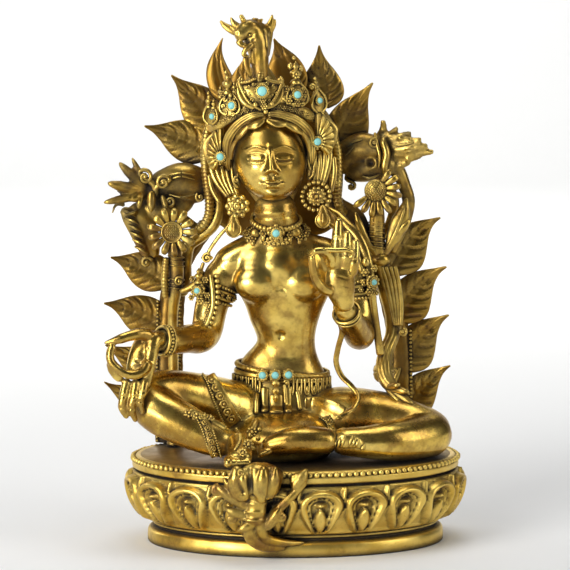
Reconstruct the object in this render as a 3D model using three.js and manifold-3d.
// A seated tara figure of cast, gilded bronze: a lotus base, the figure with its crown and jewels,
// a leafy backplate, a lotus at each shoulder, a lotus under the lowered foot, and turquoise stones.
// Millimetres, +Z up. The figure faces -Y. The origin is the middle of the base's underside.
import * as THREE from "three";
import { mergeVertices } from "three/addons/utils/BufferGeometryUtils.js";
import Module from "manifold-3d";

const wasm = await Module();
wasm.setup();

// Sizes of the lotus base
const BASE_WIDTH = 190; // over the beaded rim
const BASE_DEPTH = 132; // over the beaded rim
const BASE_HEIGHT = 50; // floor to the plate that carries the figure
const FOOT_HEIGHT = 8.5; // the plain ring on the floor
const FOOT_INSET = 10.4; // foot ring, in from the rim
const NECK_INSET = 14.6; // groove above the foot ring, in from the rim
const PETAL_OVERHANG = 0.2; // body of the petals, out past the rim
const PETAL_RELIEF = 3.2; // a petal's rolled edge stands out this far
const PETAL_COUNT = 20;
const PETAL_BOTTOM = 13; // height of the petals' lower end
const PETAL_TOP = 42; // height of their tips
const RIM_HEIGHT = 4.6; // the beaded rim

// Sizes of the figure and of what is fitted to it
const FIGURE_HEIGHT = 250; // base plate to the highest prong of the crown
const BACKPLATE_THICKNESS = 4;
const FIT_GAP = 0.3; // clearance wherever two pieces meet
const LARGE_STONE = 5.4; // diameter of the crown's middle cabochon
const MEDIUM_STONE = 4.2; // diameter in crown, fans, necklace and belt
const SMALL_STONE = 3.4; // diameter in the armlets and outer crown
const STONE_DEPTH = 1.6; // depth of a stone's seat

// Fineness of the facets
const PETAL_FACETS = 6; // around one petal of the base
const PETAL_STEPS = 4; // up one petal
const PLAIN_SIDES = 48; // around the base's foot ring and rim
const STONE_SIDES = 6;

// Free forms are drawn for this height, and their places on the base for this oval
const DRAWN = { height: 250, width: 190, depth: 132 };
const UNIT = FIGURE_HEIGHT / DRAWN.height;
const SPREAD = BASE_WIDTH / DRAWN.width;
const ROOM = BASE_DEPTH / DRAWN.depth;

const gilt = (name) => new THREE.MeshStandardMaterial({ name, color: 0xb08a3c, roughness: 0.32, metalness: 1 });
const turquoise = new THREE.MeshStandardMaterial({ name: "turquoise", color: 0x58b7ae, roughness: 0.35, metalness: 0 });

const X_AXIS = new THREE.Vector3(1, 0, 0);
const Y_AXIS = new THREE.Vector3(0, 1, 0);
const Z_AXIS = new THREE.Vector3(0, 0, 1);
const NEAR = new THREE.Vector3(0, -1, 0); // the way the figure faces
const vector = ([x, y, z]) => new THREE.Vector3(x, y, z);

// Turns a closed three.js geometry into a solid, with its seam and poles merged.
function solid(geometry) {
  const bare = geometry.clone();
  bare.deleteAttribute("normal");
  bare.deleteAttribute("uv");
  const merged = mergeVertices(bare, 1e-4);
  const mesh = new wasm.Mesh({
    numProp: 3,
    vertProperties: new Float32Array(merged.attributes.position.array),
    triVerts: new Uint32Array(merged.index.array),
  });
  return new wasm.Manifold(mesh);
}

const join = (solids) => solids.reduce((whole, next) => whole.add(next));

// Moves every vertex of a geometry by a function of its place.
function reshape(geometry, move) {
  const places = geometry.attributes.position;
  const point = new THREE.Vector3();
  for (let i = 0; i < places.count; i += 1) {
    point.fromBufferAttribute(places, i);
    move(point);
    places.setXYZ(i, point.x, point.y, point.z);
  }
  return geometry;
}

// A round or flat limb along a curve. Each station is [x, y, z, half width, half thickness], and
// "wide" is the direction of the half width. Each of "bands" is [station, half length, thickness],
// with a station of 2.5 for the middle between the third and the fourth.
function limb(stations, { sides = 8, wide = X_AXIS, bands = [] } = {}) {
  const path = new THREE.CatmullRomCurve3(stations.map(vector));
  const girth = new THREE.CatmullRomCurve3(
    stations.map(([, , , a, b = a]) => new THREE.Vector3(a, b, 0)), false, "catmullrom", 0.4,
  );
  const inBand = (at) => bands.some(([middle, half]) => Math.abs(at - middle) < half * 1.3);
  const rings = stations.map((_, at) => ({ at, swell: 0 })).filter(({ at }) => !inBand(at));
  for (const [middle, half, swell] of bands) {
    rings.push({ at: middle - half, swell: 0 }, { at: middle, swell }, { at: middle + half, swell: 0 });
  }
  rings.sort((a, b) => a.at - b.at);
  const poles = rings.length + 1;
  const place = (point) => {
    const row = Math.round((Math.acos(THREE.MathUtils.clamp(point.y, -1, 1)) / Math.PI) * poles);
    const around = new THREE.Vector2(point.x, point.z);
    const { at, swell } = rings[THREE.MathUtils.clamp(row - 1, 0, rings.length - 1)];
    const share = at / (stations.length - 1);
    const centre = path.getPoint(share);
    if (row === 0 || row === poles) {
      point.copy(centre);
      return;
    }
    const along = path.getTangent(share);
    const across = wide.clone().addScaledVector(along, -wide.dot(along)).normalize();
    const through = new THREE.Vector3().crossVectors(along, across);
    const size = girth.getPoint(share);
    around.normalize();
    point.copy(centre)
      .addScaledVector(across, around.x * (size.x + swell))
      .addScaledVector(through, around.y * (size.y + swell));
  };
  return solid(reshape(new THREE.SphereGeometry(1, sides, poles), (point) => {
    place(point);
    point.multiplyScalar(UNIT);
  }));
}

// An egg-shaped lump with half sizes along X, Y and Z.
function lump(centre, half, { sides = 8, rings = 6, move = () => {} } = {}) {
  return solid(reshape(new THREE.SphereGeometry(1, sides, rings).rotateX(Math.PI / 2), (point) => {
    move(point);
    point.multiply(vector(half)).add(vector(centre)).multiplyScalar(UNIT);
  }));
}

// A ring of round wire, laid round an axis.
function hoop(centre, half, wire, axis, around) {
  const turn = new THREE.Quaternion().setFromUnitVectors(Z_AXIS, axis.clone().normalize());
  return solid(reshape(new THREE.TorusGeometry(1, 0.2, 4, around), (point) => {
    const spoke = new THREE.Vector3(point.x, point.y, 0).normalize();
    const out = (Math.hypot(point.x, point.y) - 1) / 0.2;
    const rise = point.z / 0.2;
    point.set(spoke.x * (half[0] + out * wire), spoke.y * (half[1] + out * wire), rise * wire);
    point.applyQuaternion(turn).add(vector(centre)).multiplyScalar(UNIT);
  }));
}

// A flower of petals round a boss that faces along an axis. "valley" is the depth between petals.
function rosette(centre, radius, depth, petals, facing, { valley = 0.28, rings = 3 } = {}) {
  const turn = new THREE.Quaternion().setFromUnitVectors(Z_AXIS, facing.clone().normalize());
  return solid(reshape(new THREE.SphereGeometry(1, petals * 2, rings).rotateX(Math.PI / 2), (point) => {
    const scallop = 1 - (valley / 2) * (1 - Math.cos(Math.atan2(point.y, point.x) * petals));
    point.set(point.x * radius * scallop, point.y * radius * scallop, point.z * depth);
    point.applyQuaternion(turn).add(vector(centre)).multiplyScalar(UNIT);
  }));
}

// A pointed leaf on a broad blade with a raised midrib, from its stalk to its curled tip.
function leaf(stalk, middle, tip, halfWidth, wide) {
  const [a, b, c] = [stalk, middle, tip].map(vector);
  const blade = new THREE.QuadraticBezierCurve3(a, b.clone().multiplyScalar(2).sub(a.clone().add(c).divideScalar(2)), c);
  const outline = [[0, 0.4], [0.3, 1], [0.64, 0.82], [1, 0.06]];
  const stations = outline.map(([share, width]) => [
    ...blade.getPoint(share).toArray(), halfWidth * width, 0.9 + 1.1 * width,
  ]);
  return limb(stations, { sides: 4, wide });
}

// The seat and the stone of one cabochon. Its size is in millimetres.
function cabochon(name, centre, facing, diameter) {
  const turn = new THREE.Quaternion().setFromUnitVectors(Y_AXIS, vector(facing).normalize());
  const origin = vector(centre).multiplyScalar(UNIT);
  const set = (profile) => solid(new THREE.LatheGeometry(
    profile.map(([r, h]) => new THREE.Vector2(r, h)), STONE_SIDES,
  ).applyQuaternion(turn).translate(origin.x, origin.y, origin.z));
  const radius = diameter / 2;
  const seat = radius + FIT_GAP;
  const floor = -STONE_DEPTH;
  const clear = STONE_DEPTH * 3;
  return {
    name,
    socket: set([[0, floor], [seat, floor], [seat, clear], [0, clear]]),
    stone: set([[0, floor + FIT_GAP], [radius, floor + FIT_GAP], [radius, 0.1], [0, radius * 0.5]]),
  };
}

// A closed oval drum through rings of { inset, height, share }, each set in from the rim's outline.
function drum(rings, around, grow) {
  const profile = [
    new THREE.Vector2(0, rings[0].height),
    ...rings.map(({ height }) => new THREE.Vector2(1, height)),
    new THREE.Vector2(0, rings.at(-1).height),
  ];
  const oval = new THREE.EllipseCurve(0, 0, BASE_DEPTH / 2, BASE_WIDTH / 2);
  const body = new THREE.LatheGeometry(profile, around);
  const places = body.attributes.position;
  for (let column = 0; column <= around; column += 1) {
    const angle = oval.getUtoTmapping((column % around) / around) * Math.PI * 2;
    const across = (column % PETAL_FACETS) / PETAL_FACETS - 0.5;
    rings.forEach(({ inset, height, share }, row) => {
      const out = grow - inset + (share === undefined ? 0 : petalRelief(across, share));
      places.setXYZ(
        column * profile.length + row + 1,
        (BASE_WIDTH / 2 + out) * Math.sin(angle), height, (BASE_DEPTH / 2 + out) * Math.cos(angle),
      );
    });
  }
  return solid(body.rotateX(Math.PI / 2));
}

// The oval lotus base: foot ring, petals and rim. "grow" makes the slightly larger copy that cuts
// room for what is fitted to it.
function baseSolid(grow) {
  const rimBottom = BASE_HEIGHT - RIM_HEIGHT;
  const petals = [{ inset: NECK_INSET, height: FOOT_HEIGHT - 1 }];
  for (let step = 0; step < PETAL_STEPS; step += 1) {
    const share = step / (PETAL_STEPS - 1);
    const bulge = Math.sin(Math.PI * (0.08 + 0.5 * share ** 0.8));
    petals.push({
      inset: THREE.MathUtils.lerp(NECK_INSET, -PETAL_OVERHANG, bulge),
      height: THREE.MathUtils.lerp(PETAL_BOTTOM - grow, PETAL_TOP + grow, share),
      share,
    });
  }
  petals.push({ inset: RIM_HEIGHT, height: PETAL_TOP + 0.6 + grow });
  return join([
    drum([
      { inset: FOOT_INSET, height: -grow },
      { inset: FOOT_INSET + 0.4, height: FOOT_HEIGHT + grow },
    ], PLAIN_SIDES, grow),
    drum(petals, PETAL_COUNT * PETAL_FACETS, grow),
    drum([
      { inset: RIM_HEIGHT + 1, height: PETAL_TOP - 1 },
      { inset: RIM_HEIGHT + 1, height: rimBottom - grow },
      { inset: 0.6, height: rimBottom + 1 - grow },
      { inset: 0.6, height: BASE_HEIGHT + grow },
    ], PLAIN_SIDES, grow),
  ]);
}

// How far a petal stands out: a rolled edge under a rounded arch, a groove and an egg-shaped boss.
function petalRelief(across, up) {
  const rise = Math.max(0, (up - 0.3) / 0.72);
  const edge = Math.hypot(across / 0.5, rise);
  const rolledEdge = Math.exp(-(((edge - 0.74) / 0.18) ** 2));
  const boss = 0.9 * Math.exp(-((edge / 0.3) ** 2));
  const tip = 0.8 * up ** 2 * Math.exp(-((across / 0.22) ** 2));
  return PETAL_RELIEF * (rolledEdge + boss + tip - 0.35);
}

// Jewellery that goes round the trunk and the limbs, by its stations on them: the belt, then the
// armlet and the bracelet of each arm
const BELT_STATION = 3;
const ARM_BANDS = [[1.46, 0.25, 1.8], [6, 0.25, 2]];

// The figure's body: trunk with belt, breasts, arms, hands, legs with hem bands and anklets, feet.
function body() {
  const trunk = limb([
    [-8, 8, 0.4, 27, 18], [-8, 8, 16, 30, 19], [-7.8, 9, 34, 27.5, 17], [-7.3, 9, 46, 25.5, 15.2],
    [-5.2, 7, 63, 16.7, 12], [-6, 5, 80, 21, 13.5], [-6.3, 4, 95, 27, 15], [-8, 4, 107, 30, 13.5],
    [-9, 5, 116, 22, 10.5], [-10.4, 4, 125, 12, 9.8], [-11.5, 1, 137, 10.6, 9.4],
    [-12.8, -2, 150, 10.4, 9.4],
  ], { sides: 12, bands: [[BELT_STATION, 0.28, 3.2]] });
  const breasts = [[-21.5, -8, 100.5], [3, -8, 100.5]].map((c) => lump(c, [11, 8, 10.5],
    { sides: 8, rings: 5 }));
  const rightArm = limb([
    [-36, 5, 110, 11], [-43, 5, 98, 10.6], [-48, 4, 84, 9.6], [-51, 1, 70, 9], [-55, -8, 67.5, 8.8],
    [-61, -18, 68.5, 8], [-70, -30, 68.5, 6.4], [-77, -37, 67, 5.4],
  ], { wide: new THREE.Vector3(1, 0, -1).normalize(), bands: ARM_BANDS });
  const leftArm = limb([
    [27, 5, 111, 11], [33, 5, 99, 10.6], [35.5, 3, 84, 9.6], [36.5, -1, 69, 9], [35.5, -9, 70, 8.8],
    [32, -20, 76, 8], [27.5, -32, 84, 6.4], [25, -38, 91, 5.4],
  ], { bands: ARM_BANDS });
  const rightLeg = limb([
    [-22, 4, 20, 17], [-38, -6, 24, 17], [-58, -17, 30, 15], [-78, -27, 35, 12.5], [-85, -32, 34.5, 11.5],
    [-78, -36, 30.5, 11.5], [-66, -39, 24.5, 11], [-50, -43, 18, 8.6], [-36, -47, 13, 6.8],
  ], { wide: Z_AXIS, bands: [[1.25, 0.14, 1.8], [6.25, 0.18, 2], [7.4, 0.22, 2]] });
  const leftLeg = limb([
    [9, 4, 19, 17], [28, -1, 20, 17], [50, -6, 18.5, 15.5], [68, -11, 15.5, 13.4], [75.5, -16, 13.5, 12.8],
    [68, -24, 12.5, 12], [52, -35, 12, 10.6], [34, -42, 13, 8.2], [18, -46, 14.5, 7],
  ], { wide: Z_AXIS, bands: [[7, 0.16, 2]] });
  const feet = [
    limb([[-36, -46, 13, 6.6], [-34, -54, 11.5, 6.2], [-35, -62, 9.5, 6.4, 4.4], [-37, -69, 8, 4.6, 2.6]],
      { sides: 6 }),
    limb([[20, -46, 14, 7.2], [6, -50, 15.5, 8.2], [-8, -51, 15, 7.6], [-20, -50, 13, 4]], { sides: 6 }),
  ];
  const lap = lump([-8, -12, 10], [32, 29, 16], { sides: 8, rings: 5 });
  return join([trunk, ...breasts, rightArm, leftArm, rightLeg, leftLeg, ...feet, lap, rightHand(), leftHand()]);
}

const finger = (stations) => limb(stations, { sides: 4 });

// Her right hand, palm out and fingers down, with thumb and first finger closed in a ring.
function rightHand() {
  return join([
    limb([[-76, -37, 67, 6], [-84, -41, 64, 10, 5], [-90, -44, 58, 11, 4.4], [-92, -46, 50, 9, 3.6]],
      { sides: 6, wide: new THREE.Vector3(1, 0, 1).normalize() }),
    finger([
      [-86, -43, 69, 3.6], [-96, -46, 71, 3.2], [-104.5, -48, 67.5, 2.9], [-106, -49.5, 59.5, 2.7],
      [-100.5, -50.5, 52.5, 3.2], [-92, -49, 50.5, 3.5], [-84, -44, 55, 3.8],
    ]),
    finger([[-97, -46, 54, 3.4], [-98, -48, 43, 3.2], [-97, -47, 33, 2.4]]),
    finger([[-91.5, -46, 53, 3.4], [-92.5, -48.5, 42, 3.2], [-92.5, -47, 33, 2.4]]),
    finger([[-86, -45, 53, 3.2], [-86.5, -47, 44, 2.9], [-87, -46, 35.5, 2.2]]),
  ]);
}

// Her left hand, raised with palm out, with thumb and first finger closed in a ring.
function leftHand() {
  return join([
    limb([[26, -36, 88, 6], [24.5, -40, 95, 9, 5], [23.5, -42, 104, 10, 4.6], [23.5, -42, 112, 9, 3.8]],
      { sides: 6 }),
    finger([
      [17, -42, 111, 3.6], [15.5, -47, 121, 3.2], [8.5, -50.5, 122, 2.9], [6, -51, 113, 2.9],
      [7.5, -50.5, 105, 3.4],
      [12, -47, 100, 3.8], [19, -43, 99, 4],
    ]),
    finger([[21, -42, 109, 3.4], [20.6, -42.5, 125, 3.1], [21.4, -40, 139, 2.3]]),
    finger([[26, -41.5, 108, 3.4], [26, -42, 124, 3.1], [26.2, -39, 138, 2.3]]),
    finger([[30.5, -41, 106, 3], [31, -41, 119, 2.8], [30.4, -38, 131, 2.1]]),
  ]);
}

// The head with a calm, plain face, the hair parted over the brow and the topknot.
function head() {
  const skull = lump([-13.7, -4, 168], [17.6, 18, 22.5], {
    sides: 10,
    rings: 8,
    move: (point) => { point.x *= point.z < 0 ? 1 - 0.3 * point.z ** 2 : 1; },
  });
  const features = [
    limb([[-13.7, -20, 175, 2], [-13.7, -24.5, 163.5, 3.2], [-13.7, -19, 160.5, 2]], { sides: 4 }),
    limb([[-20, -16.5, 156.4, 1.2, 1], [-13.7, -20.4, 155.8, 2.2, 2.2], [-7.4, -16.5, 156.4, 1.2, 1]],
      { sides: 4, wide: Z_AXIS }),
    lump([-13.7, -14.5, 149.6], [5.6, 5, 4], { sides: 6, rings: 4 }),
    ...[-21, -6.4].map((x) => lump([x, -17.6, 169], [4.8, 3, 2.6], { sides: 5, rings: 3 })),
  ];
  const hair = limb([
    [-10, 14, 120, 12, 4], [-11, 15, 141, 15, 6], [-12.5, 10, 160, 20, 13], [-14, 5, 178, 22, 18.5],
    [-15, 3, 191, 17, 15],
    [-18, 1, 202, 11, 10], [-20, -4, 214, 8, 7.5], [-21, -9, 222, 4, 4],
  ]);
  const locks = [-1, 1].map((side) => {
    const at = (x, y, z, r) => [-14.2 + side * x, y, z, r, r * 0.8];
    return limb([
      at(0.5, -16, 192.5, 3), at(9, -16.5, 189.5, 3.6), at(16.5, -11.5, 181.5, 3.6), at(20.5, -5, 171, 3.4),
      at(21.5, 0, 160, 2.6),
    ], { sides: 5, wide: Z_AXIS });
  });
  return join([skull, ...features, hair, ...locks]);
}

// The crown: a band that rises in five leaves, four spires, and the horned animal head on top.
function crown() {
  const leaves = [
    [-47, -3, 193.5, 8.5], [-37, -13, 200, 9.5], [-20, -19.5, 206, 11.5], [0, -13.5, 206, 9.5],
    [12.5, -4, 202, 8.5],
  ];
  const stations = [[-48, 6, 187, 2.4, 2]];
  leaves.forEach(([x, y, z, height], i) => {
    stations.push([x, y, z, height, 4]);
    const next = leaves[i + 1] ?? [16, 6, 200, 0];
    stations.push([(x + next[0]) / 2, (y + next[1]) / 2 - 1, (z + next[2]) / 2 - 6.5, 2.6, 2]);
  });
  const band = limb(stations, { sides: 6, wide: Z_AXIS });
  const spires = [[-38, -13, 203, -39, 218.5], [-48, -3.5, 196, -49.4, 206], [-1, -13, 210, -2, 227],
    [12, -4, 205, 9.5, 215]].map(
    ([x, y, z, tipX, tipZ]) => limb([[x, y, z, 4.4], [(x + tipX) / 2, y, (z + tipZ) / 2, 3.4],
      [tipX, y, tipZ, 1.4]],
      { sides: 4 }),
  );
  const beast = limb([
    [-20, -16, 206, 7], [-20.5, -17, 217, 5.4], [-21.5, -16, 228, 6.6], [-23, -14, 238, 7.6],
    [-27, -16, 243, 6], [-32, -20, 239, 4.4],
    [-34, -22, 232.5, 3], [-31, -24, 228, 2.4], [-28.6, -24, 231, 1.4],
  ], { sides: 6 });
  const prongs = [
    [-29, -11, 239, -42.8, -10, 246.4], [-28, -12, 241, -36.7, -13, 248.2],
    [-27, -13, 242, -31.2, -15, 250],
    [-23, -12, 240, -20.6, -13, 248.8], [-20, -10, 237, -13.7, -11, 250], [-20, -10, 235, -11, -11, 247],
  ].map(([x, y, z, tipX, tipY, tipZ]) => limb([
    [x, y, z, 3.4], [(x + tipX) / 2, (y + tipY) / 2, (z + tipZ) / 2 - 1, 2.6], [tipX, tipY, tipZ, 1],
  ], { sides: 3 }));
  return join([band, ...spires, beast, ...prongs]);
}

// Beside each ear a fan-shaped jewel, the ribbon under it, a flower earring and its drop.
function sideJewels() {
  return join([[-1, -43, 171, -34.8, 143], [1, 13, 178.5, 13.4, 148]].map(([side, x, z, dropX, dropZ]) => join([
    limb([
      [x, -2, z + 12, 2, 1.6], [x, -3, z + 4, 8.6, 3.2], [x, -3, z - 4, 8, 3.4],
      [x - side * 3, -3, z - 16, 5, 2.4],
      [dropX, -4, dropZ + 3, 4, 2.4], [dropX, -6, dropZ - 7, 2.2, 2], [dropX, -7, dropZ - 13, 4.6, 4],
      [dropX, -7, dropZ - 19.5, 1.6, 1.6],
    ], { sides: 6 }),
    rosette([dropX, -6, dropZ], 7, 3.4, 7, NEAR),
  ])));
}

// Necklace, the ornaments on the armlets, and the fringe of the belt.
function jewels() {
  const necklace = [
    hoop([-10.6, -1, 128.4], [14.2, 12.4], 2.6, new THREE.Vector3(0, -0.42, 1), 12),
    rosette([-11.8, -15, 126.6], 6.4, 4, 5, new THREE.Vector3(0, -1, 0.2)),
  ];
  const armlets = [
    limb([[-52, -4, 107, 2.4], [-55, -5, 96, 6.4, 4.6], [-53, -5.5, 85, 4, 3.4], [-49, -7, 72, 2.6, 3]],
      { sides: 5 }),
    rosette([42, -6, 99], 6.4, 4, 5, new THREE.Vector3(0.5, -1, 0)),
    rosette([-49, -4, 113], 4.6, 3.4, 5, new THREE.Vector3(-0.4, -1, 0.3)),
  ];
  const fringe = [];
  const drops = 8;
  for (let i = 0; i <= drops * 2; i += 1) {
    const angle = THREE.MathUtils.degToRad(-158 + (136 * i) / (drops * 2));
    const long = i % 2;
    fringe.push([-7.3 + 27.5 * Math.cos(angle), 8 + 17.5 * Math.sin(angle), 40 - 2.2 * long, 3.4 + 2.8 * long, 1.4 + long]);
  }
  return join([...necklace, ...armlets, limb(fringe, { sides: 4, wide: Z_AXIS })]);
}

// The skirt's pleats over the lap, the cloth on her left thigh, and the scarf's ends.
function drapery() {
  const pleats = [];
  const folds = 5;
  for (let i = 0; i <= folds * 2; i += 1) {
    const share = i / (folds * 2);
    const ridge = i % 2;
    const sweep = Math.abs(share - 0.5) * 12;
    pleats.push([-31 + 46 * share, -20 + sweep - ridge, 26, 17.5 - sweep * 0.6, 2.4 + 1.8 * ridge]);
  }
  const apron = limb(pleats, { sides: 4, wide: new THREE.Vector3(0, -0.75, -0.65).normalize() });
  const cloth = limb([[36, -15, 31, 7, 2.4], [20, -24, 27, 9, 2.8], [4, -36, 16, 3, 2]],
    { sides: 4, wide: Y_AXIS });
  const ribbon = limb([
    [24, -28, 84, 2.6, 1.8], [26.5, -17, 64, 2.6, 1.6], [25.5, -14, 52, 2.6, 1.6], [29, -16, 43, 2.8, 1.8],
    [37, -18, 30, 3, 2],
  ], { sides: 4 });
  const scarf = limb([
    [24, -2, 121, 3, 4], [37, -3, 113, 3.4, 5], [43, -3, 95, 2.8, 4.5], [42.5, -3, 68, 2, 2],
  ], { sides: 4 });
  const cord = limb([[-36, -7, 129, 1.4], [-42, -6, 122, 1.4], [-49, -5, 114, 1.4]], { sides: 4 });
  return join([apron, cloth, ribbon, scarf, cord]);
}

// The leafy backplate: two posts on the base, a dished plate behind the head, leaves and two beasts.
function backplate() {
  const y = 32 * ROOM;
  const left = (x) => x * SPREAD;
  const outline = new THREE.Shape();
  const edge = [
    [-58, 122], [-49, 130], [-48, 142], [-52, 158], [-53, 172], [-49, 184], [-45, 196], [-38, 206],
    [-24, 212],
    [-6, 210], [8, 203], [19, 194], [26, 181], [28.5, 166], [28, 149], [26, 136], [36, 126], [10, 114],
    [-12, 111], [-40, 112],
  ].map(([px, pz]) => new THREE.Vector2(left(px) * UNIT, pz * UNIT));
  outline.moveTo(edge[0].x, edge[0].y);
  edge.slice(1).forEach((point) => outline.lineTo(point.x, point.y));
  const plate = solid(new THREE.ExtrudeGeometry(outline, { depth: BACKPLATE_THICKNESS, bevelEnabled: false })
    .rotateX(Math.PI / 2).translate(0, (y - 2) * UNIT + BACKPLATE_THICKNESS, 0));
  const rope = (points) => limb(points.map(([px, pz]) => [left(px), y - 2.6, pz, 2.6]), { sides: 4 });
  const ropes = [
    rope([[-60, 123], [-50, 129], [-47.5, 140], [-52, 157], [-52.5, 172], [-48, 184], [-43, 194]]),
    rope([[27, 134], [27.6, 148], [27.8, 166], [25.5, 181], [18, 194], [8, 202]]),
  ];
  const posts = [
    limb([[left(-72.5), y + 1, -2, 8.5, 3.2], [left(-72.5), y + 1, 30, 8.5, 3.2],
      [left(-72), y + 1, 62, 8, 3.2], [left(-70), y + 1, 88, 7, 3.2],
      [left(-66), y, 104, 6, 3.2], [left(-58), y, 118, 6, 3.2], [left(-50), y, 128, 5, 3]], { sides: 6 }),
    limb([[left(63), y + 1, -2, 6.5, 3.2], [left(63), y + 1, 30, 6.5, 3.2], [left(62), y + 1, 58, 6.5, 3.2],
      [left(58), y + 1, 80, 6.5, 3.2],
      [left(52), y, 100, 6, 3.2], [left(42), y, 116, 6, 3.2], [left(30), y, 130, 6, 3]], { sides: 6 }),
  ];
  const acrossRising = new THREE.Vector3(1, 0, 1).normalize();
  const acrossFalling = new THREE.Vector3(1, 0, -1).normalize();
  const leaves = [
    [[-45, 188], [-56, 202], [-70, 215], 11, acrossRising], [[-48, 165], [-65, 177],
      [-86, 185.6], 11.5, acrossRising],
    [[-70, 88], [-87, 99], [-106, 110], 9.5, acrossRising], [[-74, 61], [-92, 73],
      [-110.5, 83], 9.5, acrossRising],
    [[-76, 38], [-93, 50], [-110.5, 59.5], 8.5, acrossRising], [[-76, 12], [-94, 24],
      [-110.5, 37], 8.5, acrossRising],
    [[18, 196], [17, 213], [14.6, 232], 11.5, X_AXIS], [[22, 176], [36, 193],
      [45.5, 210.5], 11, acrossFalling],
    [[55, 100], [71, 115], [85, 132], 11, acrossFalling], [[58, 72], [74, 87],
      [88.8, 103.5], 11, acrossFalling],
    [[61, 42], [77, 58], [90.8, 75], 11, acrossFalling], [[63, 15], [80, 30], [92, 45], 9.5, acrossFalling],
    [[-36, 198], [-42, 216], [-40, 236], 10, X_AXIS], [[-3, 200], [-5, 219], [-11.6, 233], 11, X_AXIS],
  ].map(([stalk, middle, tip, width, wide]) => leaf(
    [left(stalk[0]), y, stalk[1]], [left(middle[0]), y, middle[1]],
    [left(tip[0]), y - 4, tip[1]], width, wide,
  ));
  return join([plate, ...ropes, ...posts, ...leaves, leftBeast(y, left),
    rightBeast(y, left), ringedArm(y, left)]);
}

// A spike of a beast's open mouth.
const spike = (from, to, root = 3.4) => limb([
  [...from, root], [...from.map((v, i) => (v + to[i]) / 2), root * 0.8], [...to, 0.8],
], { sides: 3 });

function leftBeast(y, left) {
  const at = (x, dy, z) => [left(x), y + dy, z];
  return join([
    limb([[...at(-46, -2, 152), 8, 6], [...at(-56, -2, 153), 11, 9], [...at(-68, -3, 152), 13, 10],
      [...at(-79, -5, 151), 13, 9], [...at(-87, -8, 149), 8, 6]],
      { sides: 7, wide: Z_AXIS }),
    ...[[-109.5, -22, 143.2], [-106, -22, 155.2], [-99.8, -18, 166.3], [-93, -14, 168.5],
      [-104.5, -18, 135.8]].map((tip) => spike(at(-84, -8, 150), at(...tip), 4.4)),
    limb([[...at(-78, -5, 144), 6, 4], [...at(-89, -8, 134), 6, 4], [...at(-91, -8, 125), 4, 3],
      [...at(-86, -6, 117), 2, 2]], { sides: 5 }),
    lump(at(-81, -12, 156.5), [5, 4, 5], { sides: 6, rings: 3 }),
  ]);
}

function rightBeast(y, left) {
  const at = (x, dy, z) => [left(x), y + dy, z];
  return join([
    limb([[...at(24, -2, 160), 8, 6], [...at(34, -2, 163), 11, 9], [...at(44, -3, 166), 14, 10],
      [...at(54, -5, 168), 13, 9], [...at(62, -8, 169), 8, 6]],
      { sides: 7, wide: Z_AXIS }),
    ...[[81, -20, 172.4], [74, -20, 178.5], [66.5, -18, 183.5],
      [55.5, -14, 190]].map((tip) => spike(at(56, -8, 168), at(...tip), 5)),
    limb([[...at(52, -4, 158), 8, 5], [...at(64, -6, 150), 7, 5], [...at(67, -6, 140), 6, 4],
      [...at(61, -5, 128), 3, 3]], { sides: 5 }),
    limb([[...at(60, -5, 134), 4, 3], [...at(55, -4, 122), 4, 3], [...at(50, -2, 108), 4, 3]],
      { sides: 5 }),
    lump(at(43, -12, 165), [5, 4, 5], { sides: 6, rings: 3 }),
  ]);
}

// The plain tube that drops from beside the left fan and bends out to the left post.
function ringedArm(y, left) {
  const at = (x, dy, z, r) => [left(x), y + dy, z, r];
  return limb([
    at(-44.4, -7, 150, 2.6), at(-44, -7, 136, 3.4), at(-46, -8, 127, 3.6), at(-54, -8, 121, 3.6),
    at(-60, -9, 114, 3.6),
    at(-62.5, -9, 104, 3.8), at(-63, -7, 94, 4), at(-67, -2, 86, 4),
  ], { sides: 6 });
}

// A lotus flower with long petals round a domed disc, facing the viewer.
function flower([x, y, z], disc, reach, petals) {
  return rosette([x, y, z], reach, 2.6, petals, NEAR, { valley: 0.62 }).add(lump([x, y - 1, z],
    [disc, 3.6, disc], { sides: 6, rings: 3 }));
}

function leftLotus() {
  const x = -70 * SPREAD;
  return join([
    flower([x, 9, 126.5], 6, 14, 13),
    limb([
      [x, 10, 124, 3], [x + 1, 11, 113, 4], [x + 2, 12, 103, 4.6], [x + 1.5, 13, 93, 4],
      [x, 17 * ROOM, 78, 3.2], [x, 21 * ROOM, 50, 3.2],
      [x, 22 * ROOM, 20, 3.2], [x, 22 * ROOM, -2, 4.2],
    ], { sides: 6 }),
  ]);
}

function rightLotus() {
  const foot = 46.5; // the stem comes off her left thigh, and the flower leans with the backplate
  const x = foot * SPREAD;
  return join([
    flower([x, 7, 149], 6.6, 14, 12),
    limb([
      [x, 8, 146, 3.6], [x + 0.5, 9, 136, 4.2], [x + 0.5, 11, 122, 4.6], [x + 2, 13, 110, 5.4],
      [foot + 6.5, 14, 94, 5.6], [foot + 10.5, 14, 76, 5], [foot + 9.5, 11, 66, 4], [foot + 6, 6, 58, 4],
      [foot + 4, 0, 50, 5], [foot + 5, -4, 43, 4.6], [foot + 11, -8, 36.4, 3.4], [foot + 18, -12, 33, 2.2],
    ], { sides: 6 }),
    limb([[x + 3, 12, 112, 3], [x + 9, 11, 124, 2.6], [x + 13, 10, 136, 3.4, 2.4], [x + 16, 10, 142, 1]],
      { sides: 5 }),
  ]);
}

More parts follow.
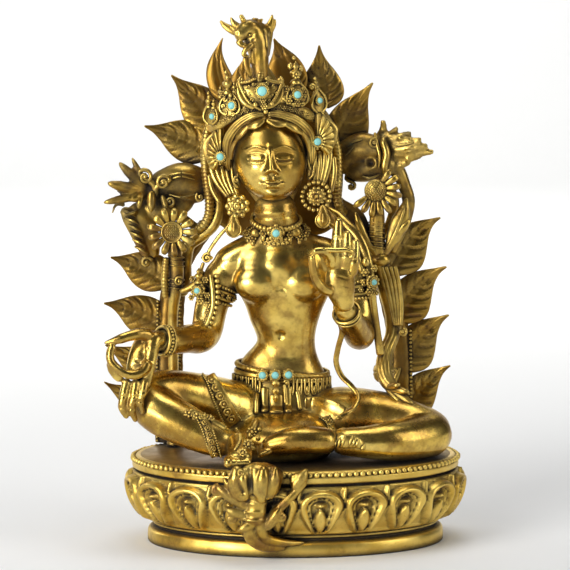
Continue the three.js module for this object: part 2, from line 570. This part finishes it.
// The half-open lotus under the lowered foot, its bound stem and scrolling leaves on the base's front.
function footLotus() {
  const y = -BASE_DEPTH / 2 / UNIT;
  const at = (x, dy, z, a, b) => [x, y + dy, z, a, b];
  const sprig = (stations) => limb(stations, { sides: 5 });
  return join([
    limb([
      at(-24.5, -2, 4.5, 12, 6), at(-24.5, -2.5, 0, 16.5, 8.6), at(-23.5, -2.5, -8, 14.6, 8),
      at(-21.5, -2, -17, 7, 6),
      at(-20.8, -0.5, -27, 5, 5), at(-19.5, 2, -36, 5, 5), at(-12, 6, -41, 5, 4.6),
      at(1, 11, -41.4, 2.4, 2.4),
    ]),
    sprig([at(-24, 0, -20, 3.6), at(-33, 0, -16, 4), at(-42, 0, -10, 3.6), at(-49, 3, -6, 1.6)]),
    sprig([at(-24, 0, -26, 3), at(-34, 1, -25, 3.4), at(-40, 2, -30, 1.4)]),
    sprig([at(-18, 0, -27, 3.6), at(-8, 0, -17, 4.4), at(2, 0, -6, 4), at(6, 2, 2, 1.6)]),
    sprig([at(-4, 0, -12, 3), at(-2, -1, -3, 3), at(-6, -1, 0.6, 2)]),
  ]);
}

const STONES = [
  cabochon("crown_stone_1", [-19.7, -23.9, 208.1], [-0.1, -1, 0.15], LARGE_STONE),
  cabochon("crown_stone_2", [-36.6, -17.4, 199.8], [-0.45, -1, 0.1], MEDIUM_STONE),
  cabochon("crown_stone_3", [-47.2, -7.6, 193.2], [-0.7, -1, 0.1], SMALL_STONE),
  cabochon("crown_stone_4", [0.1, -17.6, 205.8], [0.3, -1, 0.1], MEDIUM_STONE),
  cabochon("crown_stone_5", [12.6, -8.3, 202.1], [0.55, -1, 0.1], SMALL_STONE),
  cabochon("fan_stone_left", [-42.5, -6.8, 170.6], [-0.25, -1, 0], MEDIUM_STONE),
  cabochon("fan_stone_right", [11.3, -6.7, 179], [0.2, -1, 0], MEDIUM_STONE),
  cabochon("necklace_stone", [-11.8, -20.4, 128.2], [0, -1, 0.1], MEDIUM_STONE),
  cabochon("armlet_stone_left", [-56, -9.2, 94.7], [-0.35, -1, 0.1], SMALL_STONE),
  cabochon("armlet_stone_right", [43.6, -10.8, 99.3], [0.5, -1, 0], SMALL_STONE),
  cabochon("belt_stone_1", [-19.2, -7.9, 46], [-0.25, -1, 0.05], MEDIUM_STONE),
  cabochon("belt_stone_2", [-12, -9.1, 46], [-0.1, -1, 0.05], MEDIUM_STONE),
  cabochon("belt_stone_3", [-4.4, -9.4, 46], [0.05, -1, 0.05], MEDIUM_STONE),
];

// The ground that the figure and the backplate stand on, as a block that trims their feet flat.
function underside() {
  const depth = 60;
  return solid(new THREE.BoxGeometry(BASE_WIDTH * 3, BASE_WIDTH * 3, depth).translate(0, 0, FIT_GAP - depth / 2));
}

// Fills the sealed bubbles that overlapping limbs shut in.
const filled = (whole) => join(whole.decompose().filter((part) => part.volume() > 0));

// Puts a finished solid into a named mesh.
function piece(name, whole, material, height) {
  const { vertProperties, triVerts } = whole.getMesh();
  const geometry = new THREE.BufferGeometry();
  geometry.setAttribute("position", new THREE.BufferAttribute(vertProperties, 3));
  geometry.setIndex(new THREE.BufferAttribute(triVerts, 1));
  geometry.computeVertexNormals();
  const mesh = new THREE.Mesh(geometry, material);
  mesh.name = name;
  mesh.position.z = height;
  return mesh;
}

const ground = underside();
const sockets = join(STONES.map(({ socket }) => socket));
const figure = join([body(), head(), crown(), sideJewels(), jewels(), drapery()]).subtract(sockets).subtract(ground);
const nearBase = baseSolid(FIT_GAP).translate([0, 0, -BASE_HEIGHT]);

const model = new THREE.Group();
model.add(
  piece("lotus_base", baseSolid(0), gilt("gilt_base"), 0),
  piece("tara_figure", filled(figure), gilt("gilt_figure"), BASE_HEIGHT),
  piece("backplate", filled(backplate().subtract(ground)), gilt("gilt_backplate"), BASE_HEIGHT),
  piece("left_lotus", filled(leftLotus().subtract(ground)), gilt("gilt_lotus"), BASE_HEIGHT),
  piece("right_lotus", filled(rightLotus()), gilt("gilt_lotus"), BASE_HEIGHT),
  piece("foot_lotus", filled(footLotus().subtract(nearBase)), gilt("gilt_lotus"), BASE_HEIGHT),
  ...STONES.map(({ name, stone }) => piece(name, stone, turquoise, BASE_HEIGHT)),
);

export default model;
